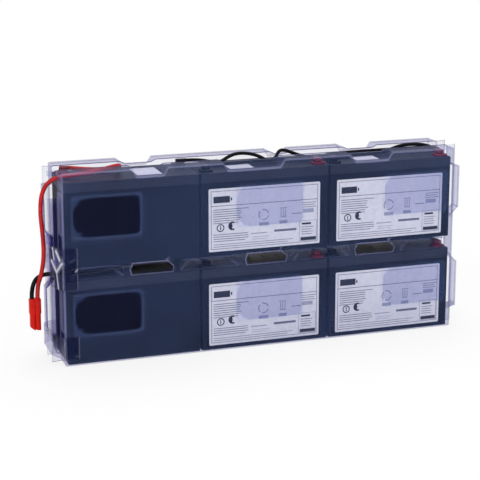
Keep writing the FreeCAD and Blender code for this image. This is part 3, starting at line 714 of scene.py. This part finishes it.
# where the forms lie: windows and pads by the columns, shelves between the windows
endWall = trayHigh[0] - tray["endReach"]
cornerX = endWall - tray["edgeRound"]
lowZ, highZ = trayLow[2] + tray["edgeRound"], trayHigh[2] - tray["edgeRound"]
windows = [middle + shift for middle, shift in zip(columnMiddles, tray["windowShifts"])]
windowHalf = tray["windowWidth"] / 2
windowLow, windowHigh = (rowTop + rise for rise in tray["windowRows"])
windowMiddle = (windowLow + windowHigh) / 2
shelfX = [window + side * (windowHalf + tray["shelfBeside"])
          for window in windows for side in (-1, 1)]
shelfX = [tray["shelfEnd"] - endWall, *shelfX, endWall - tray["shelfEnd"]]
shelves = list(zip(shelfX[0::2], shelfX[1::2]))
shelfLow, shelfHigh = (rowTop + rise for rise in tray["shelfRows"])
pads = [middle + shift for middle, shift in zip(columnMiddles, tray["padShifts"])]
padWide, padHigh = padHalf = [size / 2 for size in tray["padSize"]]
padMiddles = [floor + tray["padRise"] + padHigh for floor in rowFloors]


def gridLines(low, high, step, marks):
    # even lines from low to high, and one at each mark with no even line crowding it
    even = np.linspace(low, high, int((high - low) / step) + 1)
    marks = np.unique(np.round(marks, 2))
    marks = marks[(marks > low) & (marks < high)]
    near = np.abs(even[:, None] - marks[None, :]).min(axis=1) < tray["crowding"] * step
    near[[0, -1]] = False
    return np.unique(np.concatenate([even[~near], marks]))


def ramp(value, low, high):
    # 0 below low, 1 above high, and an eased slope between
    share = np.clip((value - low) / (high - low), 0, 1)
    return share * share * (3 - 2 * share)


def insideRounded(u, v, halfU, halfV, corner):
    # signed distance to a rounded rectangle about the middle: negative inside
    du = np.abs(u) - halfU + corner
    dv = np.abs(v) - halfV + corner
    outside = np.hypot(np.maximum(du, 0), np.maximum(dv, 0))
    return outside + np.minimum(np.maximum(du, dv), 0) - corner


def plateau(value, edges):
    # 0, a straight rise between the first two edges, 1, and a fall between the last two
    return np.interp(value, edges, (0, 1, 1, 0))


def bending(grid):
    # how far the normals of the four cells round each point turn from each other, 0 to 1
    normal = np.cross(grid[1:, 1:] - grid[:-1, :-1], grid[1:, :-1] - grid[:-1, 1:])
    normal /= np.maximum(np.linalg.norm(normal, axis=-1, keepdims=True), 1e-9)
    wide = np.pad(normal, ((1, 1), (1, 1), (0, 0)), mode="edge")
    mean = (wide[1:, 1:] + wide[:-1, :-1] + wide[1:, :-1] + wide[:-1, 1:]) / 4
    return np.clip((1 - np.linalg.norm(mean, axis=-1)) * tray["creaseGain"], 0, 1)


def faceLines(scoops):
    # lines of the face: close together where a form turns, wide apart where it is flat
    turn, bend, fold, lip = (np.array(tray[name]) for name in ("turn", "bend", "fold", "lip"))
    taper, rise = tray["shelfTaper"], tray["shelfRise"]
    across = [pad + side * (padWide + bend) for pad in pads for side in (-1, 1)]
    across += [window + side * (windowHalf + lip) for window in windows for side in (-1, 1)]
    across += [scoop + side * (width / 2 - inner) + turn for scoop, width in scoops
               for side in (-1, 1) for inner in (0, tray["scoopSide"])]
    alongTaper, upRise = tray["slopeLines"]
    slope = np.concatenate([fold, np.linspace(0, taper, alongTaper), taper + fold])
    across += [line for start, end in shelves for line in (start + slope, end - slope)]
    up = [middle + side * (padHigh + bend) for middle in padMiddles for side in (-1, 1)]
    up += [shelfLow + fold, shelfLow + np.linspace(0, rise, upRise), shelfLow + rise + fold,
           shelfHigh + np.array(tray["shelfTop"]), windowLow - lip, [windowMiddle],
           windowHigh + lip, highZ - tray["scoopStart"] + np.array(tray["scoopLines"]),
           tray["notch"]]
    for floor, bumps in zip(rowFloors, tray["bumpRows"]):
        up += [floor + np.array(tray["gripRows"]), floor + np.array(bumps)]
    return (gridLines(-cornerX, cornerX, tray["lineStep"], np.concatenate(across)),
            gridLines(lowZ, highZ, tray["lineStep"], np.concatenate(up)))


def wallLevels():
    # profile of the wall, level by level: a quarter round out of the face, then straight in;
    # how far out it is, and its depth at the end walls and at the long walls
    angle = np.radians(tray["roundAngles"])
    edge, inner = tray["edgeRound"], tray["wallDepths"]
    out = np.concatenate([[0], edge * np.sin(angle), np.full(len(inner), edge)])
    deep = np.concatenate([[0], edge * (1 - np.cos(angle)), inner])
    deepLong = deep.copy()
    deepLong[-1] += tray["rimDrop"]
    return out, deep, deepLong


def spread(face, last, extra):
    # place, level and side of each line: walls on both sides of the face's lines
    count = last + extra
    level = np.arange(1, last + 1)
    beyond = np.full(extra, last)
    place = np.concatenate([np.full(count, face[0]), face, np.full(count, face[-1])])
    rise = np.concatenate([beyond, level[::-1], np.zeros(len(face), int), level, beyond])
    return place, rise, np.repeat((-1.0, 0.0, 1.0), (count, len(face), count))


def pressForms(x, z, barePads):
    # how deep pads, shelves and windows' lips stand from the face, and marks of where each is
    form, wet, shelf, rimmed = (np.zeros(x.shape) for _ in range(4))
    wetHalf = [half - tray["wetInset"] for half in padHalf]
    for pad in pads:
        for middle in padMiddles:
            gap = insideRounded(x - pad, z - middle, *padHalf, tray["padCorner"])
            form = np.maximum(form, tray["padDepth"] * ramp(-gap, *tray["padSlope"]))
            rimmed = np.maximum(rimmed, ramp(-np.abs(gap), *tray["padEdge"]))
            if pad in pads[:barePads]:
                corner = np.where(x < pad, *tray["wetCorners"])
                hold = insideRounded(x - pad, z - middle, *wetHalf, corner)
                wet = np.maximum(wet, ramp(-hold, *tray["wetEdge"]))
    pressed = np.clip(form / tray["padDepth"], 0, 1)
    under = np.clip((z - shelfLow) / tray["shelfRise"], 0, 1)
    over = np.clip((shelfHigh - z) / tray["shelfStep"], 0, 1)
    margin = tray["shelfMargin"]
    for start, end in shelves:
        sides = np.clip(np.minimum(x - start, end - x) / tray["shelfTaper"], 0, 1)
        form = np.maximum(form, tray["shelfDepth"] * np.minimum(np.minimum(sides, under), over))
        shelf = np.maximum(shelf, (x > start - margin) & (x < end + margin)
                           & (z > shelfLow - margin) & (z < shelfHigh + margin))
    for window in windows:
        gap = np.maximum(np.abs(x - window) - windowHalf,
                         np.maximum(windowLow - z, z - windowHigh))
        lip = (tray["lipWidth"] + tray["lipSlope"] - gap) / tray["lipSlope"]
        form -= tray["lipRaise"] * np.clip(lip, 0, 1)
    return form, {"wet": wet, "pressed": pressed, "shelf": shelf, "rimmed": rimmed}


def leanWindows(x, z):
    # how far the windows' sides lean: the points beside each side shift with it, less further off
    near, far = tray["leanAbove"]
    level = plateau(z, (windowLow - far, windowLow - near, windowHigh + near, windowHigh + far))
    near, far = tray["leanBeside"]
    shift = np.zeros(x.shape)
    for window in windows:
        for way, lean in ((-1, tray["windowLeft"]), (1, tray["windowRight"])):
            away = np.abs(x - window - way * windowHalf)
            shift += (np.interp(z, (windowLow, windowMiddle, windowHigh), lean) * level
                      * np.clip((far - away) / (far - near), 0, 1))
    return shift


def wander(x, z):
    # the slow waves of a sheet that cooled off its mould, 0 to 1 or so
    waves = (np.sin(x / 23 + 1.3) * np.sin(z / 31 + 0.4) + 0.6 * np.sin(x / 11 + z / 17)
             + 0.5 * np.cos(x / 41 - z / 13 + 2.0)) / 2
    return (waves + 1) / 2


def makeTray(name, plan, materials):
    # the face's lines cross those of the walls: a corner's level is the greater of its two,
    # and its lines fan out; then the forms go into the face, the scoops into the top edge,
    # ribs and grips into the end walls, and the flange joins on
    out, deep, deepLong = wallLevels()
    last = len(out) - 1
    flange = np.array(tray["flangeShares"])
    faceX, faceZ = faceLines(plan["scoops"])
    placeX, levelX, wayX = spread(faceX, last, len(flange))
    placeZ, levelZ, wayZ = spread(faceZ, last, 0)
    baseX, baseZ = np.meshgrid(placeX, placeZ)
    levelX, levelZ = np.meshgrid(levelX, levelZ)
    signX, signZ = np.meshgrid(wayX, wayZ)
    share = np.zeros(len(placeX))
    share[:len(flange)] = flange[::-1]
    share[-len(flange):] = flange
    share = np.broadcast_to(share, baseX.shape)

    top = np.maximum(levelX, levelZ)
    fan = np.pi / 4 * (1 + (levelZ - levelX) / np.maximum(top, 1))
    blend = fan / (np.pi / 2)
    depth = deep[top] * (1 - blend) + deepLong[top] * blend
    x = baseX + signX * out[top] * np.cos(fan)
    z = baseZ + signZ * out[top] * np.sin(fan)
    onFace = top == 0

    form, marks = pressForms(baseX, baseZ, plan["barePads"])
    x += np.where(onFace, leanWindows(baseX, baseZ), 0)
    edgeGap = np.minimum(cornerX - np.abs(baseX), np.minimum(baseZ - lowZ, highZ - baseZ))
    fade = np.clip(edgeGap / tray["waveFade"], 0, 1) * (1 - marks["pressed"])
    form += tray["wave"] * wander(x, z) * fade
    depth = depth + np.where(onFace, form, 0)

    # scoops lower the long edge at the top, most at the face and least at the rim
    scooped = np.zeros(x.shape)
    for scoop, width in plan["scoops"]:
        inward = (width / 2 - np.abs(x - scoop)) / tray["scoopSide"]
        scooped = np.maximum(scooped, ramp(inward, -tray["scoopEase"], 1 + tray["scoopEase"]))
    drop = np.interp(depth, (0, tray["reach"]), tray["scoopDrop"])
    z -= scooped * drop * np.clip((baseZ - highZ) / tray["scoopStart"] + 1, 0, 1)

    # ribs stand out of one end wall and grips press into the other, and the flange joins on
    before, after = (tray["bumpDepth"] + step for step in tray["bumpStep"])
    past = ramp(depth, before, after) * (signX > 0)
    gripped = plateau(depth, tray["gripDepths"]) * (signX < 0) * (share == 0)
    ribbed = np.zeros(x.shape)
    for floor, bumps in zip(rowFloors, tray["bumpRows"]):
        ribbed = np.maximum(ribbed, past * plateau(baseZ, floor + np.array(bumps)))
        x += tray["gripReach"] * gripped * plateau(baseZ, floor + np.array(tray["gripRows"]))
    x += tray["bumpReach"] * ribbed
    x += signX * (trayHigh[0] - signX * x) * share * (signX != 0)
    z += (baseZ + signZ * tray["edgeRound"] * levelZ / last - z) * share
    y = trayLow[1] + tray["lipRaise"] + depth
    grid = np.stack([plan["side"] * x, plan["side"] * y, z], axis=-1)

    # faces, less those in the windows and the leads' notch
    faces = fourSided(x.shape, flipped=True)
    middleX = (baseX[:-1, :-1] + baseX[:-1, 1:]) / 2
    middleZ = (baseZ[:-1, :-1] + baseZ[1:, :-1]) / 2
    hole = np.zeros(middleX.shape, bool)
    for window in windows:
        hole |= ((np.abs(middleX - window) < windowHalf) & (middleZ > windowLow)
                 & (middleZ < windowHigh))
    if plan["notch"]:
        low, high = tray["notch"]
        beyond = (share[:-1, :-1] > 0) & (signX[:-1, :-1] < 0)
        hole |= beyond & (middleZ > low) & (middleZ < high)
    used, faces = np.unique(faces[~hole], return_inverse=True)

    # marks for the finish: where the sheet is wetted, pressed and bent, where a painted highlight
    # runs along its rounded edge, and where a painted shade darkens its left end
    creaseAndHighlight = bending(grid) * (1 - marks["wet"]) * (1 - tray["shelfSoftness"] * marks["shelf"])
    creaseAndHighlight *= 1 - tray["padSoftness"] * marks["rimmed"]
    # painted highlight: the rows of the face's rounded edge are whitened like a fold
    rounded = np.interp(top, (0, 1, 3, 4), (0, 1, 1, 0)) * tray["roundHighlight"] * (share == 0)
    creaseAndHighlight = np.maximum(creaseAndHighlight, rounded)
    # painted shade: a dark violet cast over the left end wall and flange, fading in towards the
    # face and at the top and bottom
    drawn = (signX == plan["paintedShadeEnd"]) & ((share > 0) | plan["paintedShadeWall"])
    paintedShade = (drawn * ramp(depth, *tray["paintedShadeFrom"]) * (1 - ramp(share, *tray["paintedShadeTo"]))
               * ramp(z, *tray["paintedShadeLow"]) * (1 - ramp(z, *tray["paintedShadeHigh"])))
    sheet = meshObject(name, grid.reshape(-1, 3)[used] * mm, faces.reshape(-1, 4), materials)
    for mark, values in (("wet", marks["wet"]), ("pressed", marks["pressed"]),
                         ("creaseAndHighlight", creaseAndHighlight), ("deep", paintedShade)):
        markPoints(sheet, mark, values.ravel()[used])
    sheet.data.set_sharp_from_angle(angle=tray["sharpFrom"])
    thicken(sheet, "sheet", tray["wall"], -1).material_offset_rim = 1
    standFor(sheet, name.replace("Sheet", "_tray"))
    print(name, len(used), "points")


# each tray: which way it faces, its scoops as middle and width in its own direction, how many
# of its pads meet a bare battery, whether the leads leave through it, and at which end, and
# whether on the wall as well as the flange, a painted shade darkens its sheet
trays = {
    "frontSheet": {"side": 1, "scoops": ((-132.5, 41.0), (-14.0, 72.0), (126.5, 51.0)),
                   "barePads": 1, "notch": True, "paintedShadeEnd": -1, "paintedShadeWall": True},
    "rearSheet": {"side": -1, "scoops": ((134.0, 41.0), (-33.5, 26.0), (-131.5, 43.0)),
                  "barePads": 2, "notch": False, "paintedShadeEnd": 1, "paintedShadeWall": False},
}

for sheetName, sheetPlan in trays.items():
    makeTray(sheetName, sheetPlan, [clearSheet, sheetEdge])
print("trays drawn")


# adhesive: soft clear patches squeezed between the pads and the batteries

adhesive = {
    "inset": 0.2,  # mm, how far a patch stays inside its pad
    "corners": (17.0, 7.0),  # at its two ends
    "off": 0.07,  # mm off the sheet in front and off what is behind
    "roundFrom": 0.97,  # share of the way out where its edge starts to close
    "rings": 24, "around": 120, "halvings": 30,
    "merge": 0.02,  # mm, to close the middle and the edge
}
labelLow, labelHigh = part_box("lower_middle_label")
labelThick = (labelHigh.y - labelLow.y) / mm


def makePatches(name, plan, node, material):
    # each patch is a set of rounded rectangles inside each other, thickest in the middle and
    # closed at the edge by a quarter round
    side = plan["side"]
    half = [size - adhesive["inset"] for size in padHalf]
    turn = np.linspace(0, 2 * np.pi, adhesive["around"], endpoint=False)
    way = np.stack([np.cos(turn), np.sin(turn)])
    corner = np.where(way[0] < 0, *adhesive["corners"])
    reach = np.zeros(len(turn))
    far = np.full(len(turn), np.hypot(*half))
    for _ in range(adhesive["halvings"]):  # the outline, found by halving along each spoke
        middle = (reach + far) / 2
        out = insideRounded(middle * way[0], middle * way[1], *half, corner) > 0
        far = np.where(out, middle, far)
        reach = np.where(out, reach, middle)
    share = np.sin(np.linspace(0, np.pi / 2, adhesive["rings"]))[:, None]
    past = np.clip((share - adhesive["roundFrom"]) / (1 - adhesive["roundFrom"]), 0, 1)
    swell = np.sqrt(np.clip(1 - past ** 2, 0, 1))
    across, up = (share * reach * part for part in way)
    front = fourSided(across.shape, closed=True).reshape(-1, 4)
    sheetFace = -trayLow[1] - tray["lipRaise"] - tray["padDepth"] - tray["wall"]
    points, faces = [], []
    for number, pad in enumerate(pads):
        behind = caseBack + (0 if number < plan["barePads"] else labelThick)
        rest = (sheetFace + behind) / 2
        for middle in padMiddles:
            x, z = pad + across, middle + up
            for level, cells in ((sheetFace - adhesive["off"], front),
                                 (behind + adhesive["off"], front[:, ::-1])):
                y = rest + (level - rest) * swell + 0 * across
                faces.append(cells + len(points) * across.size)
                points.append(np.stack([side * x, -side * y, z], axis=-1).reshape(-1, 3))
    piece = meshObject(name, np.concatenate(points) * mm, np.concatenate(faces), [material])
    changeMesh(piece, lambda body: bmesh.ops.remove_doubles(body, verts=body.verts,
                                                            dist=adhesive["merge"] * mm))
    standFor(piece, node)


for place in ("front", "rear"):
    makePatches(f"{place}Patches", trays[f"{place}Sheet"], f"{place}_adhesive", clearAdhesive)
print("adhesive pressed in")


# tapes round the left end: clear film, creased where it bridges the step to the flange

tape = {
    "off": 0.12, "film": 0.12,  # mm off the trays, and thick
    "tail": 16.0,  # how far it lies on either tray's face
    "stepUp": 5.6,  # how far in front of the rear face it leaves the flange's edge
    "step": 0.8,  # of its grid
    "changeOver": 1.5,  # half the way in which its lower edge steps up
    # random small folds: how many, how far from the ends, how long, how high and how wide
    "small": {"count": 16, "inset": 2, "reach": 9, "rise": (0.1, 0.3), "width": (1.2, 2.6)},
    # the crest and faint whiteness is a painted highlight on the folds' crests
    "crest": (0.9, 1.8), "faint": (0.15, 2),  # how white a fold's crest is, and its power
    # each fold: where it starts and ends along the tape and upwards, its height and half width
    # folds of no height give no relief and only paint a highlight line, as along the tape's free
    # end
    "upper": {"node": "upper_end_tape", "frontLow": 86.0, "low": 101.0, "high": 132.0,
              "folds": (((34.5, 116), (26.5, 105), 1.2, 4.4), ((17, 116), (26.5, 105), 1.2, 4.0),
                        ((26.5, 105), (23.5, 85), 1.3, 2.4), ((27, 128), (21, 119), 0.7, 5.0),
                        ((33, 131), (31, 118), 0.5, 2.4), ((0.3, 84), (0.3, 134), 0.0, 0.7),
                        ((16.4, 84), (16.4, 122), 0.3, 0.9), ((0, 109), (2.5, 106), 0.4, 1.3))},
    "lower": {"node": "lower_end_tape", "frontLow": 8.0, "low": 8.0, "high": 33.0,
              "folds": (((16.4, 6), (16.4, 35), 0.3, 0.9), ((0.3, 6), (0.3, 35), 0.0, 0.7))},
}


def foldHeights(s, z, folds):
    # each fold is a ridge: its height falls off evenly with the distance from its line
    height = np.zeros(s.shape)
    crest = np.zeros(s.shape)
    for start, end, rise, width in folds:
        start, way = np.array(start), np.array(end) - np.array(start)
        share = ((s - start[0]) * way[0] + (z - start[1]) * way[1]) / (way @ way)
        share = np.clip(share, 0, 1)
        away = np.hypot(s - start[0] - share * way[0], z - start[1] - share * way[1])
        ridge = np.clip(1 - away / width, 0, 1)
        height = np.maximum(height, rise * ridge)
        crest = np.maximum(crest, ridge)
    return height, crest


def smallFolds(span, length, rng):
    # faint folds: each starts at an even draw along and up the tape and ends at another from it
    small = tape["small"]
    count, inset, reach = small["count"], small["inset"], small["reach"]
    along, up = rng.uniform(inset, length - inset, count), rng.uniform(*span, count)
    way = rng.uniform(-reach, reach, count), rng.uniform(-reach, reach, count)
    rise, width = rng.uniform(*small["rise"], count), rng.uniform(*small["width"], count)
    return [((a, b), (a + c, b + d), e, f)
            for a, b, c, d, e, f in zip(along, up, *way, rise, width)]


def makeTape(row, material, rng):
    # a band carried round the end along its path, each point pushed out by the folds' height
    plan = tape[row]
    face = -trayLow[1] - tray["lipRaise"] + tape["off"]
    flange = trayHigh[0] + tape["off"]
    rim = -trayHigh[1] + tray["wall"]
    tail = tape["tail"] - endWall
    corners = np.array([(tail, -face), (-endWall, -face), (-flange, -rim),
                        (-flange, face - tape["stepUp"]), (-endWall, face), (tail, face)])
    ends = np.concatenate([[0], np.cumsum(np.hypot(*np.diff(corners, axis=0).T))])
    along = np.linspace(0, ends[-1], int(ends[-1] / tape["step"]) + 1)
    path = np.stack([np.interp(along, ends, corners[:, axis]) for axis in (0, 1)])
    # the film bends round each corner instead of breaking
    path[:, 1:-1] = (path[:, :-2] + path[:, 1:-1] + path[:, 2:]) / 3
    forward = np.gradient(path, axis=1)
    forward /= np.hypot(*forward)
    low = np.interp(along, ends[2] + np.array((-1, 1)) * tape["changeOver"],
                    (plan["frontLow"], plan["low"]))
    share = np.linspace(0, 1, int((plan["high"] - plan["frontLow"]) / tape["step"]) + 1)
    s, v = np.meshgrid(along, share)
    z = low + (plan["high"] - low) * v
    height, crest = foldHeights(s, z, plan["folds"])
    fine, faint = foldHeights(s, z, smallFolds((plan["low"], plan["high"]), ends[-1], rng))
    height = height + fine
    # painted highlight: the fold crests are whitened
    white = tape["crest"][0] * crest ** tape["crest"][1]
    white += tape["faint"][0] * faint ** tape["faint"][1]
    points = np.stack([path[0] - forward[1] * height, path[1] + forward[0] * height, z], axis=-1)
    faces = fourSided(z.shape).reshape(-1, 4)
    film = meshObject(f"{row}EndFilm", points * mm, faces, [material])
    markPoints(film, "creaseAndHighlight", np.clip(white, 0, 1).ravel())
    thicken(film, "film", tape["film"], 0)
    standFor(film, plan["node"])


foldRng = np.random.default_rng(7)
for row in ("upper", "lower"):
    makeTape(row, clearTape, foldRng)
print("tapes wound")


# studio: a pale floor, a white surround, three soft lamps

studio = {
    "whiteFrom": 0.24, "whiteAt": 0.75,  # m from the middle, where the floor fades to white
    "nearWhite": 0.8,  # how much of that white it has beside the object
    "floorTone": "#f4f4f5", "floorHalf": 4.0, "floorLow": -0.0002,
    "surround": 0.5,  # what the white surround gives to the object
    "aim": (0, 0, 0.11),
    "lamps": {  # place, size and power
        "keyLamp": ((-1.3, -1.9, 1.7), 1.2, 26.0),
        "fillLamp": ((1.9, -1.5, 0.9), 1.4, 12.0),
        "topLamp": ((0.1, 0.5, 1.9), 1.3, 18.0),
    },
}


def makeFloor(studio):
    # pale matt card: it keeps the object's shadow, and fades to plain white further off
    material = bpy.data.materials.new("paleMattCard")
    add = startNodes(material)
    path = add("LightPath").outputs
    seen = add("Math", {0: path["Is Camera Ray"], 1: path["Is Glossy Ray"]}, operation="MAXIMUM")
    away = add("VectorMath", {0: add("TexCoord").outputs["Object"]}, operation="LENGTH")
    far = add("MapRange", {"Value": away.outputs["Value"], "From Min": studio["whiteFrom"],
                           "From Max": studio["whiteAt"], "To Min": studio["nearWhite"],
                           "To Max": 1.0}, interpolation_type="SMOOTHSTEP")
    share = add("Math", {0: seen, 1: far}, operation="MULTIPLY")
    matt = add("BsdfDiffuse", {"Color": colour(studio["floorTone"])})
    glow = add("Emission", {"Color": (1, 1, 1, 1), "Strength": 1.0})
    add("OutputMaterial", {"Surface": add("MixShader", {0: share, 1: matt, 2: glow})})
    half, low = studio["floorHalf"], studio["floorLow"]
    corners = [(-half, -half, low), (half, -half, low), (half, half, low), (-half, half, low)]
    meshObject("floor", corners, [(0, 1, 2, 3)], [material], smooth=False)


def makeSurround(studio):
    # white where it is seen straight or through the clear sheets, and softer in what it lights
    world = bpy.data.worlds.new("surround")
    bpy.context.scene.world = world
    add = startNodes(world)
    path = add("LightPath").outputs
    seen = add("Math", {0: path["Is Camera Ray"], 1: path["Is Transmission Ray"]},
               operation="MAXIMUM")
    strength = add("MapRange", {"Value": seen, "To Min": studio["surround"], "To Max": 1.0})
    light = add("Background", {"Color": (1, 1, 1, 1), "Strength": strength})
    add("OutputWorld", {"Surface": light})


makeFloor(studio)
makeSurround(studio)
for lampName, (place, size, power) in studio["lamps"].items():
    lamp = newObject(lampName, bpy.data.lights.new(lampName, "AREA"))
    aimAt(lamp, place, studio["aim"])
    lamp.data.size = size
    lamp.data.energy = power
bpy.context.scene.view_settings.view_transform = "Standard"
print("studio lit")
